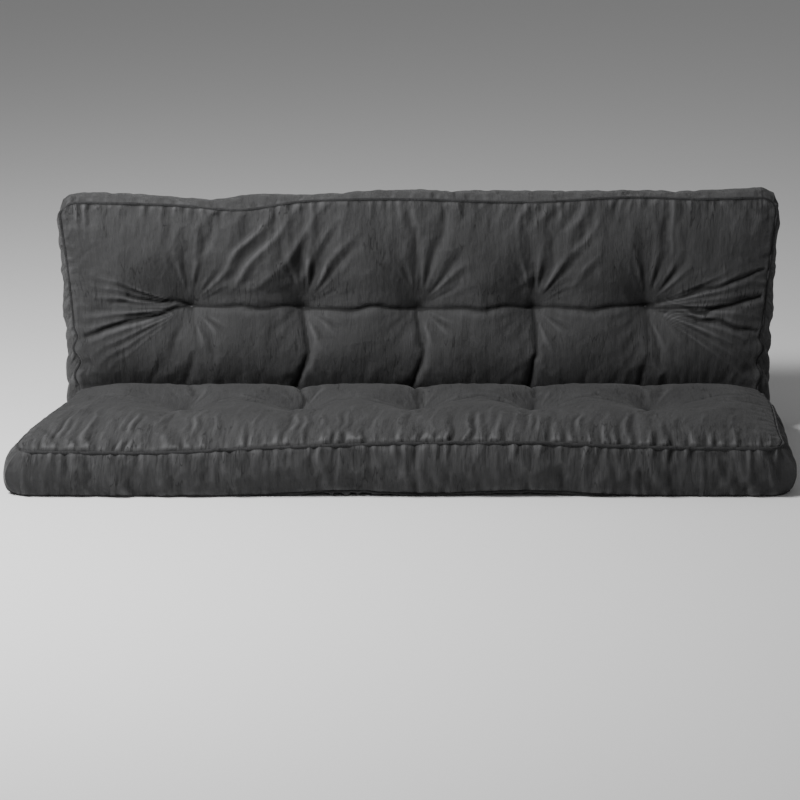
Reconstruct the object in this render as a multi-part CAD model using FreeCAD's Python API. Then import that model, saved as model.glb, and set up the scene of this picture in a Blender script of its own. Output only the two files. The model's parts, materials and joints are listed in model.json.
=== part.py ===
"""Tufted two-seat futon mattress, folded once into a seat and a leaning back.

Millimetres, +Z up, the front edge of the seat towards -Y. The origin is at floor level, in the
middle of the folded mattress's outer box.

Both halves are built lying flat, either side of the fold line, with the layers stacked upwards.
The back is then turned up about the fold line, and everything is moved to the origin.
"""

import FreeCAD, Part
import math
import os

Vector = FreeCAD.Vector

# ---- driving dimensions -------------------------------------------------------------------

WIDTH = 2000.0  # across the seat, over the side borders
SEAT_LENGTH = 700.0  # front border to the fold line
BACK_LENGTH = 620.0  # fold line to the head border
CORNER_RADIUS = 45.0  # of the casing's four corners, seen from above
BACK_LEAN = 12.0  # degrees the back leans behind upright

CLOTH = 1.6  # cotton drill of the panels and borders
BATTING = 32.0  # each of the two cotton batting layers
FOAM = 24.0  # each of the two foam sheets
FELT = 25.0  # the pad between the foam sheets
PIPING_DIAMETER = 9.0

TUFT_COLUMNS = 5
TUFT_COLUMN_SPACING = 312.0
SEAT_TUFT_ROW = 300.0  # fold line to the seat's row of tufts
BACK_TUFT_ROW = 320.0  # fold line to the back's row of tufts
TIE_DIAMETER = 3.0
KNOT_DIAMETER = 13.0
KNOT_HEIGHT = 8.0
KNOT_ROUNDING = 3.0
DIMPLE_DEPTH = 12.0  # from the panel's face down to the outer end of a knot

LAYER_GAP = 0.2  # between one layer and the next, and round the edge of each
SEAM_GAP = 0.3  # between the piping and the cloth sewn to it
TIE_GAP = 0.3  # round a tie, where it passes through a layer
DIMPLE_GAP = 2.5  # round a knot
FOLD_GAP = 0.8  # between the seat and the back at the fold

# ---- what follows from them ---------------------------------------------------------------

FOLD_ANGLE = 90.0 - BACK_LEAN  # from flat to the folded shape
MITRE_ANGLE = FOLD_ANGLE / 2.0  # of each half's end at the fold, from upright
PIPING_RADIUS = PIPING_DIAMETER / 2.0

# the stack, from the floor up: name, thickness
LAYERS = [
    ("bottom_panel", CLOTH),
    ("bottom_batting", BATTING),
    ("lower_foam", FOAM),
    ("middle_felt", FELT),
    ("upper_foam", FOAM),
    ("top_batting", BATTING),
    ("top_panel", CLOTH),
]
THICKNESS = sum(thickness for _, thickness in LAYERS) + LAYER_GAP * (len(LAYERS) - 1)

# the middle of the piping in each seam, above the floor side
SEAM_HEIGHTS = {"bottom_piping": PIPING_RADIUS, "top_piping": THICKNESS - PIPING_RADIUS}

PANEL_INSET = PIPING_RADIUS + SEAM_GAP  # panel edge, in from the border's face
FILLING_INSET = CLOTH + LAYER_GAP
DIMPLE_RADIUS = KNOT_DIAMETER / 2.0 + DIMPLE_GAP
TUFT_PLACES = [
    (number - (TUFT_COLUMNS - 1) / 2.0) * TUFT_COLUMN_SPACING for number in range(TUFT_COLUMNS)
]
# the fold's ties run inside the seat, beside the mitre and parallel to it
FOLD_TIE_OFFSET = DIMPLE_RADIUS + LAYER_GAP

# a cut end reaches past the whole mattress
REACH = WIDTH + SEAT_LENGTH + BACK_LENGTH


# ---- flat half mattress -------------------------------------------------------------------
# In a half's own frame the fold line is the X axis, the half reaches `length` along +Y, and
# its floor side is at z = 0.


def outline_wire(length, inset):
    """The half's plan with rounded outer corners, every edge moved in by `inset`."""
    side = WIDTH / 2.0 - inset
    end = length - inset
    radius = max(CORNER_RADIUS - inset, CORNER_RADIUS / 4.0)
    diagonal = radius * (1.0 - math.sqrt(0.5))
    beyond = -THICKNESS * 2.0
    right_low = Vector(side, beyond, 0)
    right_high = Vector(side, end - radius, 0)
    right_middle = Vector(side - diagonal, end - diagonal, 0)
    right_end = Vector(side - radius, end, 0)
    left_end, left_middle, left_high, left_low = (
        Vector(-point.x, point.y, 0) for point in (right_end, right_middle, right_high, right_low)
    )
    return Part.Wire(
        [
            Part.LineSegment(right_low, right_high).toShape(),
            Part.Arc(right_high, right_middle, right_end).toShape(),
            Part.LineSegment(right_end, left_end).toShape(),
            Part.Arc(left_end, left_middle, left_high).toShape(),
            Part.LineSegment(left_high, left_low).toShape(),
            Part.LineSegment(left_low, right_low).toShape(),
        ]
    )


def slab(length, inset, low, high):
    """The half's plan as a slab between two heights."""
    face = Part.Face(outline_wire(length, inset))
    face.translate(Vector(0, 0, low))
    return face.extrude(Vector(0, 0, high - low))


def mitred(shape):
    """The shape without what lies past the half's mitred end at the fold."""
    waste = Part.makeBox(2 * REACH, REACH, 2 * REACH, Vector(-REACH, -REACH, -REACH))
    waste.translate(Vector(0, FOLD_GAP / 2.0, 0))
    waste.rotate(Vector(0, 0, 0), Vector(1, 0, 0), -MITRE_ANGLE)
    return shape.cut(waste)


def box_between(low, high):
    size = high.sub(low)
    return Part.makeBox(size.x, size.y, size.z, low)


def layer_heights():
    """The lowest and highest z of each layer, by name."""
    heights = {}
    low = 0.0
    for name, thickness in LAYERS:
        heights[name] = (low, low + thickness)
        low += thickness + LAYER_GAP
    return heights


def layers(length):
    """The panels and the filling of one half, before the tufts are let in."""
    room = Part.makeCompound(
        [seam_tube(length, height, PIPING_RADIUS + SEAM_GAP) for height in SEAM_HEIGHTS.values()]
    )
    shapes = {}
    for name, (low, high) in layer_heights().items():
        inset = PANEL_INSET if name.endswith("panel") else FILLING_INSET
        shape = slab(length, inset, low, high)
        if name.endswith("batting"):
            shape = shape.cut(room)
        shapes[name] = mitred(shape)
    return shapes


def borders(length):
    """The upright strip round a half, as its end strip and its two side strips."""
    low = PIPING_DIAMETER + SEAM_GAP
    high = THICKNESS - low
    ring = mitred(slab(length, 0, low, high).cut(slab(length, CLOTH, low, high)))
    corner = length - CORNER_RADIUS
    half = WIDTH / 2.0
    end_zone = box_between(Vector(-half, corner, low), Vector(half, length, high))
    side_end = corner - LAYER_GAP
    right_zone = box_between(Vector(0, -REACH, low), Vector(half, side_end, high))
    left_zone = box_between(Vector(-half, -REACH, low), Vector(0, side_end, high))
    return {
        "end_border": ring.common(end_zone),
        "right_border": ring.common(right_zone),
        "left_border": ring.common(left_zone),
    }


def seam_tube(length, height, radius):
    """A tube along one seam: along one side, round the end and back along the other side."""
    outline = outline_wire(length, 0)
    path = Part.Wire(outline.OrderedEdges[:5])
    start = path.OrderedVertexes[0].Point
    circle = Part.Wire(Part.makeCircle(radius, start, Vector(0, 1, 0)))
    tube = path.makePipeShell([circle], True, False)
    tube.translate(Vector(0, 0, height))
    return tube


# ---- tufts --------------------------------------------------------------------------------
# A tie is described by where it meets the floor side and how far it leans towards the half's
# outer end: 0 for an upright tie, the mitre angle for a tie beside the fold.


def upright_row(distance):
    """Ties that stand upright, in a row at this distance from the fold line."""
    return [(Vector(x, distance, 0), 0.0) for x in TUFT_PLACES]


def fold_row():
    """Ties beside the mitre, parallel to it."""
    distance = FOLD_TIE_OFFSET / math.cos(math.radians(MITRE_ANGLE))
    return [(Vector(x, distance, 0), MITRE_ANGLE) for x in TUFT_PLACES]


def along_tie(foot, lean, start, length, radius):
    """A cylinder on a tie's axis, `start` from its foot."""
    cylinder = Part.makeCylinder(radius, length, foot + Vector(0, 0, start))
    cylinder.rotate(foot, Vector(1, 0, 0), -lean)
    return cylinder


def knot(foot, lean, start):
    """A rounded lump of cord on a tie's axis, its low end `start` from the foot."""
    lump = along_tie(foot, lean, start, KNOT_HEIGHT, KNOT_DIAMETER / 2.0)
    rims = [edge for edge in lump.Edges if edge.Closed]
    return lump.makeFillet(KNOT_ROUNDING, rims)


def tuft_sizes(lean):
    """Where along its axis a tuft's knots and tie start and end."""
    full = THICKNESS / math.cos(math.radians(lean))
    low_knot = DIMPLE_DEPTH
    high_knot = full - DIMPLE_DEPTH - KNOT_HEIGHT
    return full, low_knot, high_knot


def ties(row):
    """The cords of one row, each between its two knots."""
    cords = []
    for foot, lean in row:
        _, low_knot, high_knot = tuft_sizes(lean)
        start = low_knot + KNOT_HEIGHT
        cords.append(along_tie(foot, lean, start, high_knot - start, TIE_DIAMETER / 2.0))
    return Part.makeCompound(cords)


def knots(row):
    """The knots of one row, two on each tie."""
    lumps = []
    for foot, lean in row:
        _, low_knot, high_knot = tuft_sizes(lean)
        lumps += [knot(foot, lean, low_knot), knot(foot, lean, high_knot)]
    return Part.makeCompound(lumps)


def tuft_room(row):
    """What the layers leave free for one row: a dimple at each end and a hole for each tie."""
    room = []
    for foot, lean in row:
        full, low_knot, high_knot = tuft_sizes(lean)
        past = THICKNESS / 2.0  # the dimples open out through the faces, whatever the lean
        low_end = low_knot + KNOT_HEIGHT + LAYER_GAP
        high_end = high_knot - LAYER_GAP
        hole = TIE_DIAMETER / 2.0 + TIE_GAP
        room += [
            along_tie(foot, lean, 0, full, hole),
            along_tie(foot, lean, -past, past + low_end, DIMPLE_RADIUS),
            along_tie(foot, lean, high_end, full - high_end + past, DIMPLE_RADIUS),
        ]
    return Part.makeCompound(room)


# ---- the two halves -----------------------------------------------------------------------


def half_mattress(prefix, end_border_name, length, rows):
    """One half with its own tufts, lying flat along +Y. `rows` is name: row of ties."""
    room = Part.makeCompound([tuft_room(row) for row in rows.values()])
    nodes = {f"{prefix}_{name}": shape.cut(room) for name, shape in layers(length).items()}
    for name, shape in borders(length).items():
        full_name = end_border_name if name == "end_border" else f"{prefix}_{name}"
        nodes[full_name] = shape
    for name, height in SEAM_HEIGHTS.items():
        nodes[f"{prefix}_{name}"] = mitred(seam_tube(length, height, PIPING_RADIUS))
    for name, row in rows.items():
        nodes[f"{name}_tuft_ties"] = ties(row)
        nodes[f"{name}_tuft_knots"] = knots(row)
    return nodes


def seat_half():
    """The seat reaches forwards from the fold line, so it is turned half round."""
    rows = {"seat": upright_row(SEAT_TUFT_ROW), "fold": fold_row()}
    nodes = half_mattress("seat", "front_border", SEAT_LENGTH, rows)
    for shape in nodes.values():
        shape.rotate(Vector(0, 0, 0), Vector(0, 0, 1), 180)
    nodes["seat_left_border"], nodes["seat_right_border"] = (
        nodes["seat_right_border"],
        nodes["seat_left_border"],
    )
    return nodes


def back_half():
    """The back reaches rearwards from the fold line, and is turned up about it."""
    rows = {"back": upright_row(BACK_TUFT_ROW)}
    nodes = half_mattress("back", "head_border", BACK_LENGTH, rows)
    for shape in nodes.values():
        shape.rotate(Vector(0, 0, 0), Vector(1, 0, 0), FOLD_ANGLE)
    return nodes


def fold_line_y():
    """Where the fold line lies once the folded mattress's box is centred on the origin."""
    lean = math.radians(BACK_LEAN)
    front = SEAT_LENGTH + PIPING_RADIUS
    # the furthest point back is on the piping along the head's floor side
    rear = BACK_LENGTH * math.sin(lean) - PIPING_RADIUS * math.cos(lean) + PIPING_RADIUS
    return (front - rear) / 2.0


def main():
    os.makedirs("parts", exist_ok=True)
    to_origin = Vector(0, fold_line_y(), 0)
    for node, shape in {**seat_half(), **back_half()}.items():
        shape.translate(to_origin)
        shape.exportStep(f"parts/{node}.step")
    print(f"fold line at y = {fold_line_y():.3f} mm, thickness {THICKNESS:.2f} mm")


main()
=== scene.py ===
"""The looks of a tufted two-seat futon mattress, folded into a seat and a leaning back.

The casing is one closed cloth in the shape of a box grid. It starts folded and dimpled, Blender's
Cloth swells and wrinkles it, and it is then cut into its panels, refined and gathered at its
seams. Piping, filling and tufts are built on the result. Everything is in metres.
"""

import json
import math

import bpy
import numpy as np
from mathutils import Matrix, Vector

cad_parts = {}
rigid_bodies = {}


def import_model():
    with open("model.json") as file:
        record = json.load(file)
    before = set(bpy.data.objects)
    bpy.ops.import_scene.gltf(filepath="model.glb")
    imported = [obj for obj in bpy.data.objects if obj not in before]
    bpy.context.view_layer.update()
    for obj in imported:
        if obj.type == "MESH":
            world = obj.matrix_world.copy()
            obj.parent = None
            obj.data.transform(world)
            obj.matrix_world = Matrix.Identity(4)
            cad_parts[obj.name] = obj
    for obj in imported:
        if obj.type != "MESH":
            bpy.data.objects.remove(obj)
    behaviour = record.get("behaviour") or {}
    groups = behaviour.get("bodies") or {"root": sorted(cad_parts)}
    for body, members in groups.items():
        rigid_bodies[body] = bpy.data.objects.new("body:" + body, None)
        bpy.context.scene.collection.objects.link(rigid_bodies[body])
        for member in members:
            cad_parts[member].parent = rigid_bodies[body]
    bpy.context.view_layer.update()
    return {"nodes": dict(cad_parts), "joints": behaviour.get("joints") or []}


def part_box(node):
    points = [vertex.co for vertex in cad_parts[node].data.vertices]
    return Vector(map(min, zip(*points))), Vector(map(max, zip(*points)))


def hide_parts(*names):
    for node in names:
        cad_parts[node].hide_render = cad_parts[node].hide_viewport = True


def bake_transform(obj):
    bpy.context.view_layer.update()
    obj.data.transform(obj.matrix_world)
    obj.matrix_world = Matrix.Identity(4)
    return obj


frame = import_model()

# ---- sizes, from the frame ------------------------------------------------------------------

FOLD = next(joint for joint in frame["joints"] if joint["name"] == "fold")
FOLD_POINT = Vector(FOLD["pos_m"])
FOLD_ANGLE = math.radians(FOLD["range_deg"][1])
LEAN = math.pi / 2 - FOLD_ANGLE
HALF_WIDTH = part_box("front_border")[1].x
SEAT_LENGTH = FOLD_POINT.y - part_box("front_border")[0].y
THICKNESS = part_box("seat_top_panel")[1].z
BACK_LENGTH = max(
    (v.co.y - FOLD_POINT.y) * math.sin(LEAN) + v.co.z * math.cos(LEAN)
    for v in frame["nodes"]["head_border"].data.vertices
)
CREASE = THICKNESS * math.tan(FOLD_ANGLE / 2)  # inner crease to fold line, along each half
# in the upright plane across the fold: along the mitre into the elbow, and square to it
INTO_FOLD = np.array([0.0, math.sin(FOLD_ANGLE / 2), -math.cos(FOLD_ANGLE / 2)])
PIPING_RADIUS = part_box("seat_top_piping")[1].x - HALF_WIDTH
TIE_RADIUS = 0.0015
KNOT_RADIUS, KNOT_HALF_HEIGHT = 0.0065, 0.0040


def tuft_places(node):
    """Each tuft's x in a row of ties, and the row's distance from the fold line."""
    low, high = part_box(node)
    middle = (low + high) / 2 - FOLD_POINT
    leaning = middle.y * math.sin(LEAN) + middle.z * math.cos(LEAN)
    along = middle.y if middle.z < THICKNESS else leaning
    return np.linspace(low.x + TIE_RADIUS, high.x - TIE_RADIUS, 5), along


TUFT_X, SEAT_ROW = tuft_places("seat_tuft_ties")
BACK_ROW = tuft_places("back_tuft_ties")[1]

# ---- how this mattress has settled ----------------------------------------------------------
# Curves go through (place, value). Across the mattress the place runs from -1, left, to 1,
# right. Along it the place runs from -1, front, over 0, the fold, to 1, head.

TOP_SEAM_WIDTH = [(-1, 0.977), (-0.7, 0.957), (-0.35, 0.937), (0, 0.922), (0.5, 0.94), (1, 0.972)]
FLOOR_SEAM_WIDTH = [(-1, 0.9975), (-0.5, 0.98), (0, 0.955), (0.5, 0.965), (1, 0.978)]
SLIDE = 0.050  # how far the fold and the back have slid to the right of the front edge
FRONT_TOP_SEAM_LIFT = [
    (-1, -0.016), (-0.6, -0.018), (-0.3, -0.004), (0, 0.006), (0.4, 0.005), (0.6, -0.003),
    (1, -0.009),
]
FRONT_FLOOR_SEAM_LIFT = [
    (-1, 0.002), (-0.4, 0.003), (-0.1, 0.016), (0, 0.010), (0.35, 0.016), (0.6, 0.003), (1, 0.002)
]
HEAD_TOP_SEAM_LIFT = [
    (-1, 0.0), (-0.64, -0.010), (-0.48, -0.021), (-0.33, 0.0), (-0.1, 0.008), (0.3, 0.0),
    (0.59, 0.013), (0.77, 0.008), (1, 0.014),
]
HEAD_REAR_SEAM_LIFT = [
    (-1, 0.0), (-0.78, -0.004), (-0.58, -0.020), (-0.41, -0.002), (-0.33, -0.010), (-0.1, 0.004),
    (0.1, 0.007), (0.8, 0.004), (1, 0.020),
]
HEAD_TOP_SEAM_INSET, HEAD_REAR_SEAM_INSET = 0.021, 0.004
FRONT_OVERHANG = 0.008
END_REACH = 0.12  # how far from the front and the head these lifts and insets are felt
CORNER_RADIUS = 0.055
SEAT_CROWN, BACK_CROWN, FRONT_CROWN = 0.003, 0.014, 0.006
REAR_CORNER_DROP = 0.020
LOWER_BACK_BULGE = 0.009
DIMPLE_DEPTH = 0.046  # before Cloth
REAR_DIMPLE_DEPTH = 0.022
CREASE_DEPTH = 0.024
WIDE_CREASE, NARROW_CREASE = 0.012, 0.0045  # before Cloth, and pressed in after it
ELBOW_ROUNDING = 0.017
BORDER_BOW = 0.016
BUNCH_DEPTH, BUNCH_SPACING = 0.008, 0.088  # of the side seams' bunches by the fold
# how far the cloth is sewn askew above the back's tufts, which pulls slanting folds into it
ASKEW = [(-1, -0.02), (-0.55, -0.005), (-0.3, 0.035), (0.4, 0.035), (1, 0.02)]

# ---- the cloth's grid -----------------------------------------------------------------------

CELLS_ACROSS = 200
CELLS_SEAT = 64
CELLS_BACK = 60
CELLS_UP = 14

CLOTH_FRAMES = 26
PRESSURE = 3.0
SLACK = 0.02  # how much larger than the filled shape the borders are cut
SEAM_SLACK = 0.11  # and how much the panels are, where they are gathered into a seam
PANEL_SHARE = 0.36  # of the way from the first to the second, over the rest of the panels


def smooth(t):
    t = np.clip(t, 0, 1)
    return t * t * (3 - 2 * t)


def curve(points, t):
    """A smooth curve through (place, value) points."""
    at, value = np.array(points, float).T
    slope = np.gradient(value, at)
    cell = np.clip(np.searchsorted(at, t) - 1, 0, len(at) - 2)
    width = at[cell + 1] - at[cell]
    u = np.clip((t - at[cell]) / width, 0, 1)
    start = (1 + 2 * u) * (1 - u) ** 2 * value[cell] + u * (1 - u) ** 2 * width * slope[cell]
    end = u**2 * (3 - 2 * u) * value[cell + 1] + u**2 * (u - 1) * width * slope[cell + 1]
    return start + end


def noise(u, v, seed):
    """Smooth noise from -1 to 1, with one random value to each unit square."""
    size = 256
    table = np.random.default_rng(seed).uniform(-1, 1, (size, size))
    column, row = np.floor(u).astype(int), np.floor(v).astype(int)
    right, up = smooth(u - column), smooth(v - row)
    here, after = column % size, (column + 1) % size
    low = table[here, row % size] * (1 - right) + table[after, row % size] * right
    high = table[here, (row + 1) % size] * (1 - right) + table[after, (row + 1) % size] * right
    return low * (1 - up) + high * up


def place(x, along, up):
    """Row-frame points of points on the flat mattress, folded."""
    seat = [x, FOLD_POINT.y + along, up]
    back = [
        x,
        FOLD_POINT.y + along * math.sin(LEAN) - up * math.cos(LEAN),
        along * math.cos(LEAN) + up * math.sin(LEAN),
    ]
    return np.where((along < 0)[..., None], np.stack(seat, -1), np.stack(back, -1))


class Grid:
    """The box grid: its places, flat coordinates and which of its points are on the outside."""

    def __init__(self):
        across = np.linspace(-1, 1, CELLS_ACROSS + 1)
        along = np.concatenate(
            [np.linspace(-1, 0, CELLS_SEAT + 1), np.linspace(0, 1, CELLS_BACK + 1)[1:]]
        )
        up = np.linspace(0, 1, CELLS_UP + 1)
        self.across, self.along, self.up = np.meshgrid(across, along, up, indexing="ij")
        self.half_length = np.where(self.along < 0, SEAT_LENGTH, BACK_LENGTH)
        # distance along each face from the fold: the upper face starts at the crease
        self.low = self.along * self.half_length
        from_crease = self.along * (self.half_length - CREASE)
        self.high = from_crease + np.where(self.along < 0, -CREASE, CREASE)
        self.x = self.across * HALF_WIDTH
        self.to_side = HALF_WIDTH - np.abs(self.x)
        self.to_end = self.half_length - np.abs(self.low)
        self.to_edge = np.minimum(self.to_side, self.to_end)
        self.outside = np.ones(self.x.shape, bool)
        self.outside[1:-1, 1:-1, 1:-1] = False
        self.ids = np.full(self.x.shape, -1)
        self.ids[self.outside] = np.arange(self.outside.sum())
        self.top = self.up == 1
        self.floor = self.up == 0
        ends = (np.abs(self.across) == 1) | (np.abs(self.along) == 1)
        self.seam = ends & (self.top | self.floor)

    def to_tuft(self, rows):
        """Distance to the nearest tuft, on the upper face above and on the floor face below."""
        along = np.where(self.up > 0.5, self.high, self.low)
        return np.min(
            [np.hypot(self.x - x, along - row) for x in TUFT_X for row in rows], axis=0
        )


def dimple(distance):
    """The shape of the dimple round a tuft, 1 at the tuft."""
    return 0.55 * np.exp(-distance / 0.028) + 0.45 * np.exp(-((distance / 0.085) ** 2))


def to_line(u, v, corners):
    """Distance from the line through these corners."""
    nearest = np.full(u.shape, np.inf)
    for (u0, v0), (u1, v1) in zip(corners[:-1], corners[1:]):
        run = np.hypot(u1 - u0, v1 - v0)
        t = np.clip(((u - u0) * (u1 - u0) + (v - v0) * (v1 - v0)) / run**2, 0, 1)
        nearest = np.minimum(nearest, np.hypot(u - u0 - t * (u1 - u0), v - v0 - t * (v1 - v0)))
    return nearest


def worn_creases(u, v, width):
    """Depth of the lasting creases, which run from tuft to tuft and down into the fold."""
    row = [(x, BACK_ROW) for x in TUFT_X]
    left, right = row[0], row[-1]
    lines = [
        (0.008, [(-0.97, BACK_ROW - 0.085), (-0.80, BACK_ROW - 0.03), left]),
        (0.008, [(-0.80, BACK_ROW + 0.035), left]),
        (0.007, row),
        (0.009, [right, (0.80, BACK_ROW - 0.01), (0.98, BACK_ROW + 0.03)]),
        (0.007, [right, (0.98, BACK_ROW + 0.10)]),
        (0.007, [right, (0.98, BACK_ROW - 0.07)]),
    ]
    for strength, x in zip((0.1, 1.0, 0.7, 0.8, 0.2), TUFT_X):  # deepest at the inner tufts
        lines.append((0.008 * strength, [(x, BACK_ROW), (x + 0.01, 0.2), (x - 0.02, CREASE)]))
        lines.append((0.006 * strength, [(x, SEAT_ROW), (x - 0.01, -CREASE)]))
    wander = 0.008 * noise(u / 0.06, v / 0.06, 21)
    depths = [
        depth * np.exp(-((to_line(u + wander, v + wander, line) / width) ** 2))
        for depth, line in lines
    ]
    return np.max(depths, axis=0)


def fan(u, v, tuft, first, last, folds, reach, seed):
    """Folds fanning out from a tuft between two bearings, in degrees right of headwards."""
    across, along = u - tuft[0], v - tuft[1]
    distance = np.hypot(across, along)
    bearing = np.degrees(np.arctan2(across, along))
    part = (bearing - first) / (last - first)
    wander = 0.25 * noise(distance / 0.07, part * 2, seed)
    wave = np.sin(2 * np.pi * (part * folds + wander))
    window = smooth(part * 5) * smooth((1 - part) * 5)
    uneven = 0.75 + 0.25 * noise(part * folds, distance / 0.2, seed + 1)
    starts, ends = smooth((distance - 0.01) / 0.07), smooth((reach - distance) / (0.6 * reach))
    return wave * window * uneven * starts * ends


def slanting_folds(u, v):
    """Long soft folds across the upper back, which lean to the right as they rise."""
    slant = math.radians(36)
    across = u * math.cos(slant) - v * math.sin(slant)
    across = across + 0.022 * noise(u / 0.11, v / 0.14, 91)
    wave = np.cos(2 * math.pi * across / 0.062 + 0.5 * np.sin(2 * math.pi * across / 0.062))
    patchy = smooth(0.55 + 0.75 * noise(u / 0.13 + 0.4, v / 0.16, 92))
    above_row = smooth((v - BACK_ROW - 0.02) / 0.07)
    where = above_row * smooth((u + 0.68) / 0.2) * smooth((0.60 - u) / 0.2)
    return wave * patchy * where


def pulled_folds(u, v):
    """Height of the folds that the tufts pull into the upper face."""
    height = 0.0072 * slanting_folds(u, v)
    reach = (0.14, 0.32, 0.32, 0.32, 0.20)
    for number, x in enumerate(TUFT_X):
        tuft = (x, BACK_ROW)
        height += 0.0064 * fan(u, v, tuft, -22, 66, 4, reach[number], 31 + number)
        height += 0.0025 * fan(u, v, tuft, -170, -100, 3, 0.15, 41 + number)
        height += 0.0035 * fan(u, v, tuft, 105, 175, 3, 0.17, 51 + number)
        tuft = (x, SEAT_ROW)
        height += 0.0020 * fan(u, v, tuft, -60, 60, 3, 0.20, 61 + number)
        height += 0.0025 * fan(u, v, tuft, 110, 250, 5, 0.16, 71 + number)
    height += 0.0045 * fan(u, v, (TUFT_X[-1], BACK_ROW), 62, 128, 6, 0.38, 81)
    height += 0.0040 * fan(u, v, (TUFT_X[0], BACK_ROW), -125, -62, 5, 0.34, 82)
    return height


def fine_folds(u, v):
    """Height of the narrow folds that run between the large ones."""
    height = np.zeros(u.shape)
    for number, x in enumerate(TUFT_X):
        height += 0.0016 * fan(u, v, (x, BACK_ROW), -45, 80, 10, 0.22, 131 + number)
        height += 0.0014 * fan(u, v, (x, BACK_ROW), 95, 260, 11, 0.14, 141 + number)
        height += 0.0012 * fan(u, v, (x, SEAT_ROW), -75, 75, 9, 0.13, 151 + number)
        height += 0.0012 * fan(u, v, (x, SEAT_ROW), 110, 250, 9, 0.18, 161 + number)
    height += 0.0020 * fan(u, v, (TUFT_X[-1], BACK_ROW), 60, 130, 13, 0.42, 181)
    height += 0.0020 * fan(u, v, (TUFT_X[0], BACK_ROW), -130, -62, 12, 0.42, 182)
    return height


def rounded_corner(grid):
    """How far each point's x and its place along the mattress move in, to round the corners."""
    over_x = np.clip((CORNER_RADIUS - grid.to_side) / CORNER_RADIUS, 0, 1)
    over_end = np.clip((CORNER_RADIUS - grid.to_end) / CORNER_RADIUS, 0, 1)
    in_x = CORNER_RADIUS * over_x * (1 - np.sqrt(1 - over_end**2 / 2))
    in_end = CORNER_RADIUS * over_end * (1 - np.sqrt(1 - over_x**2 / 2))
    return in_x, in_end


def seam_lines(grid):
    """x on the upper and the lower face, and the place along the mattress on each."""
    in_x, in_end = rounded_corner(grid)
    side = np.sign(grid.across)
    end = np.sign(grid.along)
    low, high = grid.low - end * in_end, grid.high - end * in_end
    x = grid.x - side * in_x
    near_end = np.exp(-grid.to_end / END_REACH)
    front, head = grid.along < 0, grid.along >= 0

    drawn_in = HALF_WIDTH * grid.across * np.abs(grid.across) ** 4
    x_top = x - (1 - curve(TOP_SEAM_WIDTH, grid.along)) * drawn_in
    x_low = x - (1 - curve(FLOOR_SEAM_WIDTH, grid.along)) * drawn_in
    high = high + near_end * np.where(
        head, curve(HEAD_TOP_SEAM_LIFT, grid.across) - HEAD_TOP_SEAM_INSET, 0
    )
    low = low + near_end * np.where(
        head, curve(HEAD_REAR_SEAM_LIFT, grid.across) - HEAD_REAR_SEAM_INSET, 0
    )
    high = high - np.where(front, FRONT_OVERHANG * near_end, 0)
    low = low + np.where(front, FRONT_OVERHANG * near_end, 0)
    return x_top, x_low, high, low


def heights(grid):
    """How far the upper and the lower face's points stand off the flat mattress's underside."""
    front, head = grid.along < 0, grid.along >= 0
    near_end = np.exp(-grid.to_end / END_REACH)
    lift = near_end * np.where(front, curve(FRONT_TOP_SEAM_LIFT, grid.across), 0)
    floor_lift = near_end * np.where(front, curve(FRONT_FLOOR_SEAM_LIFT, grid.across), 0)

    inland = 1 - np.exp(-grid.to_edge / 0.05)
    tuft = dimple(grid.to_tuft([SEAT_ROW, BACK_ROW]))
    crown = SEAT_CROWN + (BACK_CROWN - SEAT_CROWN) * smooth((grid.low + 0.05) / 0.2)
    crown = crown + FRONT_CROWN * smooth((-grid.low - 0.3) / 0.2)
    crown = crown + LOWER_BACK_BULGE * np.exp(-(((grid.low - 0.14) / 0.08) ** 2))
    folds = pulled_folds(grid.x, grid.high) - worn_creases(grid.x, grid.high, WIDE_CREASE)
    rear_corner = REAR_CORNER_DROP * np.exp(-grid.to_side / 0.10 - (grid.low / 0.25) ** 2) * front
    rise = THICKNESS + inland * (crown + folds) + lift - DIMPLE_DEPTH * tuft - rear_corner
    rear_dimple = np.where(head, REAR_DIMPLE_DEPTH * tuft, 0)
    return rise, floor_lift * np.exp(-grid.to_edge / 0.03) + rear_dimple


def fold_in(grid, top, bottom):
    """The upper face dips into the crease, less so at the sides, and the elbow is rounded."""
    from_crease = np.abs(grid.high) - CREASE
    pulls = zip((0.3, 1.0, 1.0, 1.0, 0.4), TUFT_X)
    at_tuft = np.max([pull * np.exp(-(((grid.x - x) / 0.05) ** 2)) for pull, x in pulls], axis=0)
    dip = CREASE_DEPTH * (0.85 + 0.5 * at_tuft - 0.4 * np.abs(grid.across) ** 8)
    dip = dip * np.exp(-from_crease / (0.026 + 0.02 * at_tuft))
    elbow = ELBOW_ROUNDING * np.exp(-((grid.low / 0.04) ** 2))
    return top + dip[..., None] * INTO_FOLD, bottom - elbow[..., None] * INTO_FOLD


def bow_borders(grid, points):
    """Bows the borders outwards, the side borders most at the front."""
    bow = BORDER_BOW * 4 * grid.up * (1 - grid.up)
    side_bow = bow * (0.4 + 1.5 * np.exp(-(grid.low + SEAT_LENGTH) / 0.25))
    points[..., 0] += np.where(np.abs(grid.across) == 1, np.sign(grid.across) * side_bow, 0)
    points[..., 1] += bow * ((grid.along == 1) * math.sin(LEAN) - (grid.along == -1))
    points[..., 2] += bow * (grid.along == 1) * math.cos(LEAN)


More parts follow.
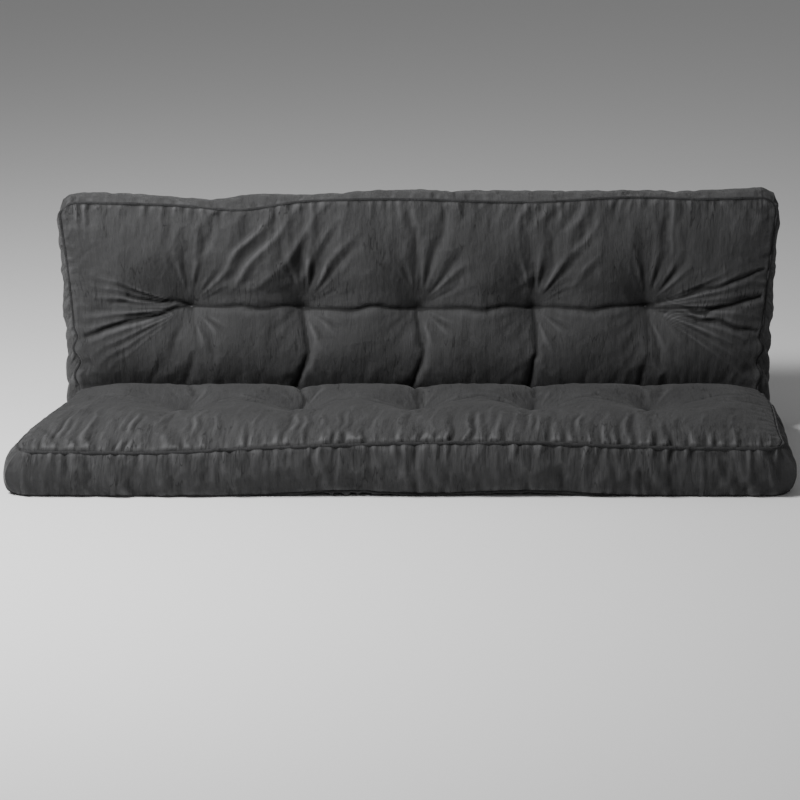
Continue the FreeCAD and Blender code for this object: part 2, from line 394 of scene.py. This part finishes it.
def start_points(grid, askew=0.0):
    """The folded, dimpled shape that the cloth starts from. `askew` shifts its upper back."""
    x_top, x_low, high, low = seam_lines(grid)
    rise, sink = heights(grid)
    tiny = 1e-9  # keeps the crease line's points on their own half
    high = np.where(grid.along < 0, np.minimum(high, -tiny), np.maximum(high, tiny))
    top, bottom = fold_in(grid, place(x_top, high, rise), place(x_low, low, sink))
    points = bottom + (top - bottom) * grid.up[..., None]
    bow_borders(grid, points)

    points[..., 0] += SLIDE * smooth((1 + grid.along) / 0.8)
    by_fold = smooth(1.6 - np.abs(grid.low - 0.07) / 0.09)
    bunches = by_fold * np.cos(2 * np.pi * (grid.low - 0.115) / BUNCH_SPACING)
    bunched = np.sign(grid.across) * BUNCH_DEPTH * bunches
    points[..., 0] += bunched * np.exp(-grid.to_side / 0.05)
    above_tufts = smooth((grid.low - BACK_ROW + 0.04) / (BACK_LENGTH - BACK_ROW))
    points[..., 0] -= askew * curve(ASKEW, grid.across) * above_tufts * grid.up
    return points


def quads(ids, flip=False):
    """The faces of a grid of vertex numbers."""
    corners = [ids[:-1, :-1], ids[1:, :-1], ids[1:, 1:], ids[:-1, 1:]]
    return np.stack([c.ravel() for c in (corners[::-1] if flip else corners)], -1)


def new_mesh(name, points, faces):
    mesh = bpy.data.meshes.new(name)
    faces = faces.tolist() if isinstance(faces, np.ndarray) else faces
    mesh.from_pydata(np.asarray(points).reshape(-1, 3).tolist(), [], faces)
    mesh.polygons.foreach_set("use_smooth", np.ones(len(mesh.polygons), bool))
    obj = bpy.data.objects.new(name, mesh)
    bpy.context.scene.collection.objects.link(obj)
    return obj


def add_values(obj, name, values):
    attribute = obj.data.attributes.new(name, "FLOAT", "POINT")
    attribute.data.foreach_set("value", np.asarray(values, np.float32).ravel())


def add_vectors(obj, name, vectors):
    attribute = obj.data.attributes.new(name, "FLOAT_VECTOR", "POINT")
    attribute.data.foreach_set("vector", np.asarray(vectors, np.float32).ravel())


def box_faces(ids):
    """The six sides of a box grid of vertex numbers, facing outwards."""
    return np.concatenate(
        [
            quads(ids[:, :, -1]),
            quads(ids[:, :, 0], True),
            quads(ids[:, 0, :]),
            quads(ids[:, -1, :], True),
            quads(ids[0, :, :], True),
            quads(ids[-1, :, :]),
        ]
    )


def add_group(obj, name, weights):
    """A vertex group of these weights, in steps of a fiftieth."""
    group = obj.vertex_groups.new(name=name)
    steps = np.round(weights * 50).astype(int)
    for step in np.unique(steps[steps > 0]):
        group.add(np.nonzero(steps == step)[0].tolist(), step / 50, "REPLACE")


def simulate(grid):
    """The box grid's points, once the cloth has swelled and wrinkled."""
    points = start_points(grid)
    shape = grid.outside
    casing = new_mesh("casing", points[shape], box_faces(grid.ids))
    casing.shape_key_add(name="Basis")
    cut = casing.shape_key_add(name="cut")
    cut.data.foreach_set("co", start_points(grid, askew=1.0)[shape].astype(np.float32).ravel())

    tied = grid.to_tuft([SEAT_ROW, BACK_ROW]) < 0.012
    crease_line = grid.top & (np.abs(grid.along) < 1e-6)
    on_slats = grid.floor & (grid.along < 0)
    pinned = grid.seam | crease_line | on_slats | (tied & (grid.top | grid.floor))
    add_group(casing, "pinned", pinned[shape].astype(float))
    near_seam = np.exp(-grid.to_edge / 0.06) * np.where(grid.floor, 0.3, 1.0)
    gathered = PANEL_SHARE + (1 - PANEL_SHARE) * near_seam
    gathered = np.where(grid.top | grid.floor, gathered, 0.0)
    add_group(casing, "gathered", gathered[shape])

    cloth = casing.modifiers.new("cloth", "CLOTH")
    settings = cloth.settings
    settings.quality = 5
    settings.mass = 0.3
    settings.air_damping = 3
    settings.bending_stiffness = 0.08
    settings.vertex_group_mass = "pinned"
    settings.vertex_group_shrink = "gathered"
    settings.shrink_min = -SLACK
    settings.shrink_max = -SEAM_SLACK
    settings.rest_shape_key = cut
    settings.use_pressure = True
    settings.uniform_pressure_force = PRESSURE
    settings.effector_weights.gravity = 0
    cloth.collision_settings.use_collision = False
    cloth.point_cache.frame_end = CLOTH_FRAMES
    for number in range(1, CLOTH_FRAMES + 1):
        bpy.context.scene.frame_set(number)
    evaluated = casing.evaluated_get(bpy.context.evaluated_depsgraph_get())
    settled = np.zeros(grid.outside.sum() * 3)
    evaluated.data.vertices.foreach_get("co", settled)
    bpy.context.scene.frame_set(1)
    bpy.data.objects.remove(casing)
    points[shape] = settled.reshape(-1, 3)
    return points


# ---- panels ---------------------------------------------------------------------------------

FRONT_GATHERS, HEAD_GATHERS, SIDE_GATHERS = 0.0095, 0.0052, 0.0024  # heights, on the two faces
BORDER_GATHERS, LOWER_BORDER_GATHERS = 0.0048, 0.0030
BORDER_FOLD_DEPTH = 0.0036
HEAD_SHARE = 0.4  # of those heights on the head border, which is smoother than the others
SEAM_PUFF = 0.0050
FINE_CREASE_DEPTH = 0.0014


def refine(points):
    """A grid of points with a point added between each two, along both ways of the grid."""
    for _ in range(2):
        before = np.concatenate([points[:1] * 2 - points[1:2], points[:-2]])
        after = np.concatenate([points[2:], points[-1:] * 2 - points[-2:-1]])
        middle = (9 * (points[:-1] + points[1:]) - before - after) / 16
        fine = np.empty((2 * len(points) - 1, *points.shape[1:]))
        fine[::2], fine[1::2] = points, middle
        points = fine.swapaxes(0, 1)
    return points


def normals(points):
    along, across = np.gradient(points, axis=1), np.gradient(points, axis=0)
    normal = np.cross(across, along)
    return normal / np.maximum(np.linalg.norm(normal, axis=-1, keepdims=True), 1e-12)


def blur(values, times):
    """A grid of values, averaged with its neighbours."""
    for _ in range(times):
        for axis in (0, 1):
            padded = np.concatenate(
                [values.take([0], axis), values, values.take([-1], axis)], axis
            )
            size = values.shape[axis]
            low = padded.take(np.arange(size), axis)
            high = padded.take(np.arange(2, size + 2), axis)
            values = (low + 2 * values + high) / 4
    return values


def gathers(along_seam, from_seam, seed, reach):
    """Small folds that run into a seam, from -1.4 to 1.4, dying away over about `reach`."""
    drift = 0.5 * noise(along_seam / 0.09, from_seam / 0.05, seed)
    fold = noise(along_seam / 0.013 + drift, from_seam / 0.12, seed + 1)
    patchy = 0.65 + 0.35 * noise(along_seam / 0.12, 0 * from_seam, seed + 2)
    reach = reach * (1 + 0.55 * noise(along_seam / 0.026 + drift, 0 * from_seam, seed + 3))
    return 1.4 * fold * patchy * np.exp(-from_seam / reach) * (1 - np.exp(-from_seam / 0.004))


def fine_creases(u, v, seed):
    """The small upright creases of worn cotton, from about -0.8 to 0.8."""
    u = u + 0.010 * noise(u / 0.035, v / 0.05, seed)
    streaks = noise(u / 0.010, v / 0.07, seed + 1) + 0.6 * noise(u / 0.021, v / 0.045, seed + 2)
    dents = 1 - 2 * np.abs(noise(u / 0.045, v / 0.08, seed + 3)) ** 0.6
    return 0.15 * streaks + 0.6 * dents


def long_folds(u, v, seed):
    """Soft folds down a border, from -1.5 to 1.5."""
    slant = u + 0.35 * v + 0.03 * noise(u / 0.12, v / 0.09, seed)
    narrow = noise(slant / 0.030, v / 0.20, seed + 1)
    wide = noise(slant / 0.075 + 5, v / 0.15, seed + 2)
    return narrow + 0.5 * wide


class Panel:
    """One cut piece of the casing: a grid of points with its cloth coordinates in metres."""

    def __init__(self, name, points, u, v, flip):
        self.name, self.flip = name, flip
        inland = np.zeros(u.shape)
        inland[1:-1, 1:-1] = 0.7
        points = points + inland[..., None] * (blur(points, 1) - points)
        self.points = refine(points)
        self.u = refine(np.repeat(u[..., None], 1, -1))[..., 0]
        self.v = refine(np.repeat(v[..., None], 1, -1))[..., 0]

    def outwards(self):
        return normals(self.points) * (-1 if self.flip else 1)

    def crinkle(self, seed, seams, extra):
        """Puffs the cloth up beside its seams, gathers it there and creases it all over."""
        distances = [np.maximum(from_seam, 0) for _, from_seam, _, _ in seams]
        self.to_seam = np.min(distances, axis=0)
        self.set_material_gathers([size for _, _, size, _ in seams], distances)
        inland = smooth(self.to_seam / 0.02)
        depth = SEAM_PUFF * (1 - np.exp(-self.to_seam / 0.006)) * np.exp(-self.to_seam / 0.035)
        for number, (along_seam, _, size, reach) in enumerate(seams):
            others = distances[:number] + distances[number + 1 :]
            clear = smooth(np.min(others, axis=0) / 0.09 + 0.1) if len(seams) > 2 else 1.0
            folds = gathers(along_seam, distances[number], seed + 10 * number, reach)
            depth += size * clear * folds
        depth += FINE_CREASE_DEPTH * fine_creases(self.u, self.v, seed + 60) * inland
        depth += extra * inland
        if len(seams) == 2:  # a border, which stays as it is where it meets the next one
            depth *= smooth(np.minimum(self.u - self.u.min(), self.u.max() - self.u) / 0.015)
        self.points = self.points + depth[..., None] * self.outwards()
        self.points[..., 2] = np.maximum(self.points[..., 2], 0)

    def set_material_gathers(self, sizes, distances):
        """How much more the material's bump gathers the cloth, at its end and side seams."""
        if len(sizes) == 2:
            sizes = [sizes[1] * FRONT_GATHERS / BORDER_GATHERS] * 2
        shares = [
            size / FRONT_GATHERS * np.exp(-distance / 0.09)
            for size, distance in zip(sizes, distances)
        ]
        self.end_gathers = np.maximum(shares[0], shares[1])
        self.side_gathers = np.maximum(*shares[2:]) if len(sizes) > 2 else 0 * shares[0]

    def build(self):
        ids = np.arange(self.u.size).reshape(self.u.shape)
        obj = new_mesh(self.name, self.points, quads(ids, self.flip))
        add_vectors(obj, "cloth", np.stack([self.u, self.v, 0 * self.u], -1))
        add_values(obj, "end_gathers", self.end_gathers)
        add_values(obj, "side_gathers", self.side_gathers)
        # ridges stand out of the blurred surface, and valleys lie under it; the material fades the
        # ridges as wear, and paints shade into the valleys
        stands_out = ((self.points - blur(self.points, 6)) * self.outwards()).sum(-1)
        # painted shade: the cloth within a few millimetres of a seam is darkened
        clear_of_seam = 0.25 + 0.75 * smooth(self.to_seam / 0.008)
        add_values(obj, "wear_and_shade", np.clip(0.5 + stands_out / 0.006, 0, 1) * clear_of_seam)
        return obj


def cut_panels(grid, points):
    """The six panels of the casing, gathered and crinkled."""
    x, low, h = grid.x, grid.low, grid.up * THICKNESS
    high = grid.along * (grid.half_length - CREASE)
    panels = {
        "casing_top": Panel("casing_top", points[:, :, -1], x[:, :, -1], high[:, :, -1], False),
        "casing_bottom": Panel("casing_bottom", points[:, :, 0], x[:, :, 0], low[:, :, 0], True),
        "casing_front": Panel("casing_front", points[:, 0], x[:, 0], h[:, 0], False),
        "casing_head": Panel("casing_head", points[:, -1], x[:, -1], h[:, -1], True),
        "casing_left": Panel("casing_left", points[0], low[0], h[0], True),
        "casing_right": Panel("casing_right", points[-1], low[-1], h[-1], False),
    }
    for number, panel in enumerate(panels.values()):
        u, v = panel.u, panel.v
        seed = 100 * (number + 1)
        if panel.name in ("casing_top", "casing_bottom"):
            seams = [
                (u, v - v.min(), FRONT_GATHERS, 0.110),
                (u, v.max() - v, HEAD_GATHERS, 0.060),
                (v, HALF_WIDTH + u, SIDE_GATHERS, 0.035),
                (v, HALF_WIDTH - u, SIDE_GATHERS, 0.035),
            ]
            from_fold = v + np.where(v < 0, -CREASE, CREASE)
            extra = 0
            if panel.name == "casing_top":
                extra = fine_folds(u, from_fold) - 0.55 * worn_creases(u, from_fold, NARROW_CREASE)
        else:
            size = HEAD_SHARE if panel.name == "casing_head" else 1.0
            seams = [
                (u, v, LOWER_BORDER_GATHERS * size, 0.05),
                (u + 0.3, THICKNESS - v, BORDER_GATHERS * size, 0.06),
            ]
            extra = BORDER_FOLD_DEPTH * size * long_folds(u, v, seed + 80)
        panel.crinkle(seed, seams, extra)
    return panels


# ---- piping ---------------------------------------------------------------------------------


def round_edge(values):
    """A panel's values round its edge, as a closed loop."""
    return np.concatenate([values[:-1, 0], values[-1, :-1], values[:0:-1, -1], values[0, :0:-1]])


def loop_blur(values, times):
    for _ in range(times):
        values = (np.roll(values, 1, 0) + 2 * values + np.roll(values, -1, 0)) / 4
    return values


def piping(name, panel, seed):
    """A covered cord along a panel's edge, its cloth puckered by the stitches."""
    side = -1 if panel.flip else 1
    line = loop_blur(round_edge(panel.points), 2)
    up = loop_blur(side * round_edge(normals(panel.points)), 6)
    tangent = np.roll(line, -1, 0) - np.roll(line, 1, 0)
    tangent /= np.linalg.norm(tangent, axis=1, keepdims=True)
    out = np.cross(tangent, up)
    out /= np.linalg.norm(out, axis=1, keepdims=True)
    up = np.cross(out, tangent)
    step = np.arange(len(line))
    line = line + out * PIPING_RADIUS * 0.7
    line[:, 2] = np.maximum(line[:, 2], 1.1 * PIPING_RADIUS)
    sides = 10
    angle = np.arange(sides) / sides * 2 * np.pi
    pucker = 0.07 * noise(step / 2.3, 0 * step, seed) + 0.05 * noise(step / 11, 0 * step, seed + 1)
    ring = np.cos(angle)[None, :, None] * out[:, None] + np.sin(angle)[None, :, None] * up[:, None]
    points = line[:, None] + ring * (PIPING_RADIUS * (1 + pucker))[:, None, None]
    ids = step[:, None] * sides + np.arange(sides)
    ids = np.concatenate([ids, ids[:1]])
    ids = np.concatenate([ids, ids[:, :1]], 1)
    obj = new_mesh(name, points, quads(ids))
    run = np.cumsum(np.linalg.norm(np.roll(line, -1, 0) - line, axis=1))
    cloth = np.broadcast_arrays(run[:, None], angle * PIPING_RADIUS, 0.0)
    add_vectors(obj, "cloth", np.stack(cloth, -1))
    add_values(obj, "wear_and_shade", np.full(len(step) * sides, 0.45))
    return obj


# ---- filling and tufts ----------------------------------------------------------------------


def filled_room(panels):
    """Where the filling rests, and how far it reaches from there, clear of the casing's creases."""
    bottom, top = (panels["casing_" + side].points[::2, ::2] for side in ("bottom", "top"))
    room = top - bottom
    thick = np.linalg.norm(room, axis=-1)
    thin = thick
    for axis in (0, 1):
        for shift in (-2, -1, 1, 2):
            thin = np.minimum(thin, np.roll(thick, shift, axis))
        thick = thin
    room = room * (thin / np.linalg.norm(room, axis=-1))[..., None]
    return bottom[4:-4:2, 4:-4:2], room[4:-4:2, 4:-4:2]


def filling_layer(name, bottom, room, low, high):
    """A closed slab between two parts of the way up the room that the filling has."""
    slab = np.stack([bottom + room * part for part in (low, high)], 2)
    ids = np.arange(slab.size // 3).reshape(slab.shape[:3])
    return new_mesh(name, slab, box_faces(ids))


def tuft_ends(grid, points, row):
    """Where each tie of a row comes out of the casing, below and above."""
    ends = []
    for x in TUFT_X:
        i = np.abs(grid.x[:, 0, 0] - x).argmin()
        above = np.abs(grid.high[i, :, -1] - row).argmin() if row else CELLS_SEAT
        below = np.abs(grid.low[i, :, 0] - row).argmin()
        ends.append((Vector(points[i, below, 0]), Vector(points[i, above, -1])))
    return ends


def joined(name, parts):
    """One mesh out of several lists of points and faces."""
    points, faces = [], []
    for part_points, part_faces in parts:
        faces += [[corner + len(points) for corner in face] for face in part_faces]
        points += [tuple(point) for point in part_points]
    return new_mesh(name, points, faces)


def ball(centre, axis, radius, half_height):
    """A flattened ball, its short way along axis."""
    turn = axis.to_track_quat("Z", "Y")
    around, levels = 16, 9
    points = []
    for level in range(levels):
        polar = math.pi * (level + 0.5) / levels
        for step in range(around):
            angle = 2 * math.pi * step / around
            wide, high = radius * math.sin(polar), half_height * math.cos(polar)
            local = Vector((wide * math.cos(angle), wide * math.sin(angle), high))
            points.append(centre + turn @ local)
    to_pole = turn @ Vector((0, 0, half_height))
    points += [centre + to_pole, centre - to_pole]
    pole, other = len(points) - 2, len(points) - 1
    faces = []
    for step in range(around):
        after = (step + 1) % around
        for level in range(levels - 1):
            a, b = level * around, (level + 1) * around
            faces.append((a + step, b + step, b + after, a + after))
        faces.append((pole, step, after))
        faces.append((other, (levels - 1) * around + after, (levels - 1) * around + step))
    return points, faces


def rod(start, end, radius):
    """A straight round cord between two points."""
    turn = (end - start).to_track_quat("Z", "Y")
    around = 12
    points = []
    for middle in (start, end):
        for step in range(around):
            angle = 2 * math.pi * step / around
            local = Vector((radius * math.cos(angle), radius * math.sin(angle), 0))
            points.append(middle + turn @ local)
    faces = [(s, (s + 1) % around, (s + 1) % around + around, s + around) for s in range(around)]
    faces += [range(around)[::-1], range(around, 2 * around)]
    return points, faces


# ---- materials ------------------------------------------------------------------------------


class Nodes:
    """A material's node tree, built a node at a time."""

    def __init__(self, name):
        self.material = bpy.data.materials.new(name)
        self.material.use_nodes = True
        self.tree = self.material.node_tree
        self.shader = self.tree.nodes["Principled BSDF"]

    def add(self, kind, inputs=(), **settings):
        node = self.tree.nodes.new(kind)
        for key, value in settings.items():
            setattr(node, key, value)
        for key, value in dict(inputs).items():
            if isinstance(value, bpy.types.NodeSocket):
                self.tree.links.new(value, node.inputs[key])
            else:
                node.inputs[key].default_value = value
        return node

    def stretched_noise(self, coordinates, scale, detail=2.0):
        mapping = self.add("ShaderNodeMapping", {"Vector": coordinates, "Scale": scale})
        return self.add(
            "ShaderNodeTexNoise", {"Vector": mapping.outputs[0], "Scale": 1.0, "Detail": detail}
        ).outputs["Fac"]

    def bump(self, height, distance, below=None, strength=1.0):
        inputs = {"Height": height, "Distance": distance, "Strength": strength}
        if below is not None:
            inputs["Normal"] = below
        return self.add("ShaderNodeBump", inputs).outputs[0]

    def mix(self, factor, a, b):
        node = self.add("ShaderNodeMix", {0: factor}, data_type="RGBA")
        for socket, value in ((node.inputs[6], a), (node.inputs[7], b)):
            if isinstance(value, bpy.types.NodeSocket):
                self.tree.links.new(value, socket)
            else:
                socket.default_value = (*value, 1)
        return node.outputs[2]

    def ramp(self, factor, low, high):
        return self.add(
            "ShaderNodeMapRange", {0: factor, 1: low, 2: high, 3: 0.0, 4: 1.0}
        ).outputs[0]


def cotton_drill(name, dark, pale):
    """Charcoal cotton drill: a fine twill with slubs, faded a little on its ridges, with painted
    shade in its valleys, along fine crease lines and beside its seams.
    """
    nodes = Nodes(name)
    cloth = nodes.add("ShaderNodeAttribute", attribute_name="cloth").outputs["Vector"]
    wear_and_shade = nodes.add("ShaderNodeAttribute", attribute_name="wear_and_shade").outputs["Fac"]
    end_gathers = nodes.add("ShaderNodeAttribute", attribute_name="end_gathers").outputs["Fac"]
    side_gathers = nodes.add("ShaderNodeAttribute", attribute_name="side_gathers").outputs["Fac"]
    end_pleats = nodes.stretched_noise(cloth, (34, 8, 1), 2.5)
    side_pleats = nodes.stretched_noise(cloth, (8, 34, 2.3), 2.5)
    crumples = nodes.stretched_noise(cloth, (20, 11, 4.1), 3.0)
    slubs = nodes.stretched_noise(cloth, (420, 34, 1), 3.0)
    picks = nodes.stretched_noise(cloth, (30, 600, 1), 2.0)
    clouds = nodes.stretched_noise(cloth, (9, 6, 1), 3.0)
    crinkle = nodes.stretched_noise(cloth, (62, 8, 1), 1.5)
    # painted shade: thin dark lines, in patches, stand for the shade in fine creases
    crease_shade_patches = nodes.ramp(nodes.stretched_noise(cloth, (11, 7, 1.7), 2.0), 0.48, 0.62)
    away = nodes.add("ShaderNodeMath", {0: crinkle, 1: 0.5}, operation="SUBTRACT").outputs[0]
    away = nodes.add("ShaderNodeMath", {0: away}, operation="ABSOLUTE").outputs[0]
    thin = nodes.ramp(away, 0.022, 0.0)
    line = nodes.add("ShaderNodeMath", {0: thin, 1: crease_shade_patches}, operation="MULTIPLY").outputs[0]
    turned = nodes.add("ShaderNodeMapping", {"Vector": cloth, "Rotation": (0, 0, math.radians(27))})
    wave = {"Vector": turned.outputs[0], "Scale": 230.0, "Distortion": 1.2, "Detail": 1.0}
    twill = nodes.add("ShaderNodeTexWave", wave).outputs["Fac"]
    ground = nodes.mix(nodes.ramp(slubs, 0.3, 0.7), dark, pale)
    ground = nodes.mix(nodes.ramp(clouds, 0.25, 0.85), ground, tuple(0.82 * c for c in dark))
    faded = nodes.mix(nodes.ramp(wear_and_shade, 0.55, 1.0), ground, tuple(1.45 * c for c in pale))
    # painted shade: the valleys and the cloth beside the seams are darkened
    shaded_in_creases = nodes.mix(nodes.ramp(wear_and_shade, 0.45, 0.1), faded, tuple(0.45 * c for c in dark))
    # painted shade along the fine crease lines
    shaded_in_creases = nodes.mix(line, shaded_in_creases, tuple(0.45 * c for c in dark))
    nodes.tree.links.new(shaded_in_creases, nodes.shader.inputs["Base Color"])
    bump = nodes.bump(clouds, 0.0020)
    bump = nodes.bump(crumples, 0.0110, bump)
    bump = nodes.bump(end_pleats, 0.0260, bump, end_gathers)
    bump = nodes.bump(side_pleats, 0.0260, bump, side_gathers)
    bump = nodes.bump(crinkle, 0.0014, bump)
    bump = nodes.bump(slubs, 0.0008, bump)
    bump = nodes.bump(picks, 0.0003, bump)
    bump = nodes.bump(twill, 0.00025, bump)
    nodes.tree.links.new(bump, nodes.shader.inputs["Normal"])
    nodes.shader.inputs["Roughness"].default_value = 0.82
    nodes.shader.inputs["Specular IOR Level"].default_value = 0.12
    nodes.shader.inputs["Sheen Weight"].default_value = 0.08
    nodes.shader.inputs["Sheen Roughness"].default_value = 0.45
    return nodes.material


def soft_stuff(name, dark, pale, grain, height):
    """Batting, foam, felt or cord: a mottled colour and a grain of this many bumps to the metre."""
    nodes = Nodes(name)
    where = nodes.add("ShaderNodeTexCoord").outputs["Object"]
    bumps = nodes.stretched_noise(where, (grain, grain, grain), 4.0)
    mottle = nodes.stretched_noise(where, (grain / 8, grain / 8, grain / 8), 3.0)
    nodes.tree.links.new(nodes.mix(mottle, dark, pale), nodes.shader.inputs["Base Color"])
    nodes.tree.links.new(nodes.bump(bumps, height), nodes.shader.inputs["Normal"])
    nodes.shader.inputs["Roughness"].default_value = 0.9
    return nodes.material


# ---- room -----------------------------------------------------------------------------------


def floor():
    size = 40
    corners = [(-size, -size, 0), (size, -size, 0), (size, size, 0), (-size, size, 0)]
    obj = new_mesh("floor", corners, [(0, 1, 2, 3)])
    nodes = Nodes("pale_floor")
    nodes.shader.inputs["Base Color"].default_value = (0.7, 0.7, 0.7, 1)
    nodes.shader.inputs["Roughness"].default_value = 0.9
    obj.data.materials.append(nodes.material)


def aim(obj, at, target):
    obj.location = at
    obj.rotation_euler = (Vector(target) - Vector(at)).to_track_quat("-Z", "Y").to_euler()
    bpy.context.scene.collection.objects.link(obj)


def area_light(name, at, size, power):
    light = bpy.data.lights.new(name, "AREA")
    light.size = size
    light.energy = power
    aim(bpy.data.objects.new(name, light), at, (0, 0, 0.3))


def lights():
    area_light("key", (-2.0, -1.35, 2.85), 0.9, 246)
    area_light("fill", (3.0, -4.5, 3.0), 2.5, 12)
    area_light("overhead", (-0.5, 1.0, 4.0), 2.5, 5)
    world = bpy.data.worlds.new("studio")
    world.use_nodes = True
    world.node_tree.nodes["Background"].inputs["Color"].default_value = (1, 1, 1, 1)
    world.node_tree.nodes["Background"].inputs["Strength"].default_value = 0.22
    bpy.context.scene.world = world


def camera():
    """Looks down at the front, from the middle and a long way off."""
    depression, distance = math.radians(15.8), 9.07
    target = Vector((0, FOLD_POINT.y - SEAT_LENGTH + 0.91, 0))
    away = Vector((0, -math.cos(depression), math.sin(depression)))
    data = bpy.data.cameras.new("camera")
    data.sensor_width = 36
    data.lens = 144.8
    obj = bpy.data.objects.new("camera", data)
    aim(obj, target + distance * away, target)
    bpy.context.scene.camera = obj


# ---- the mattress ---------------------------------------------------------------------------


def bend(obj):
    """Bakes obj's transform into its mesh, which is built already folded."""
    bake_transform(obj)


def finish_piece(obj, material, slot, *nodes):
    obj.data.materials.append(material)
    bend(obj)
    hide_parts(*nodes)


def casing(panels):
    """The cloth panels and the piping between them."""
    drill = cotton_drill("cotton_drill", (0.034, 0.034, 0.0345), (0.048, 0.048, 0.049))
    length = SEAT_LENGTH + BACK_LENGTH
    flat = {
        "casing_top": ((2 * HALF_WIDTH, length), ["seat_top_panel", "back_top_panel"]),
        "casing_bottom": ((2 * HALF_WIDTH, length), ["seat_bottom_panel", "back_bottom_panel"]),
        "casing_front": ((2 * HALF_WIDTH, THICKNESS), ["front_border"]),
        "casing_head": ((2 * HALF_WIDTH, THICKNESS), ["head_border"]),
        "casing_left": ((length, THICKNESS), ["seat_left_border", "back_left_border"]),
        "casing_right": ((length, THICKNESS), ["seat_right_border", "back_right_border"]),
    }
    for name, panel in panels.items():
        size, nodes = flat[name]
        obj = panel.build()
        finish_piece(obj, drill, "drill_cloth", *nodes)
    # painted shade: the piping's cloth is a darker copy of the drill, so that the cord reads as a
    # shaded groove
    covered_cord = cotton_drill("piping_cloth", (0.020, 0.020, 0.0205), (0.036, 0.036, 0.037))
    for side in ("top", "bottom"):
        obj = piping("piping_" + side, panels["casing_" + side], 7)
        nodes = [f"{half}_{side}_piping" for half in ("seat", "back")]
        finish_piece(obj, covered_cord, "piping_cloth", *nodes)


def filling(panels):
    """The five layers inside, from the floor up."""
    bottom, room = filled_room(panels)
    batting = soft_stuff("cotton_batting", (0.62, 0.58, 0.50), (0.78, 0.75, 0.68), 400, 0.0015)
    foam = soft_stuff("foam_sheet", (0.72, 0.62, 0.36), (0.80, 0.72, 0.48), 900, 0.0006)
    felt = soft_stuff("felt_pad", (0.20, 0.20, 0.21), (0.36, 0.35, 0.34), 600, 0.0010)
    layers = [
        ("batting_bottom", batting, "cotton_batting", "bottom_batting", 0.06, 0.235, 0.5),
        ("foam_lower", foam, "foam_sheet", "lower_foam", 0.240, 0.408, 0.9),
        ("felt_middle", felt, "felt_pad", "middle_felt", 0.412, 0.588, 0.8),
        ("foam_upper", foam, "foam_sheet", "upper_foam", 0.592, 0.760, 0.9),
        ("batting_top", batting, "cotton_batting", "top_batting", 0.765, 0.93, 0.5),
    ]
    for name, material, slot, node, low, high, fill in layers:
        obj = filling_layer(name, bottom, room, low, high)
        finish_piece(obj, material, slot, "seat_" + node, "back_" + node)


def tufts(grid, points):
    """The cords through the mattress and the knots at their ends."""
    cord = soft_stuff("tufting_cord", (0.020, 0.020, 0.021), (0.045, 0.045, 0.047), 1500, 0.0003)
    for half, row in (("seat", SEAT_ROW), ("fold", 0.0), ("back", BACK_ROW)):
        ends = tuft_ends(grid, points, row)
        ties = joined("ties_" + half, [rod(below, above, TIE_RADIUS) for below, above in ends])
        finish_piece(ties, cord, "tufting_cord", half + "_tuft_ties")
        balls = []
        for below, above in ends:
            axis = (above - below).normalized()
            balls.append(ball(above - KNOT_HALF_HEIGHT * axis, axis, KNOT_RADIUS, KNOT_HALF_HEIGHT))
            balls.append(ball(below + KNOT_HALF_HEIGHT * axis, axis, KNOT_RADIUS, KNOT_HALF_HEIGHT))
        knots = joined("knots_" + half, balls)
        finish_piece(knots, cord, "tufting_cord", half + "_tuft_knots")


def mattress():
    grid = Grid()
    points = simulate(grid)
    points[..., 2] = np.maximum(points[..., 2], 0)
    panels = cut_panels(grid, points)
    filling(panels)
    tufts(grid, points)
    casing(panels)


mattress()
floor()
lights()
camera()
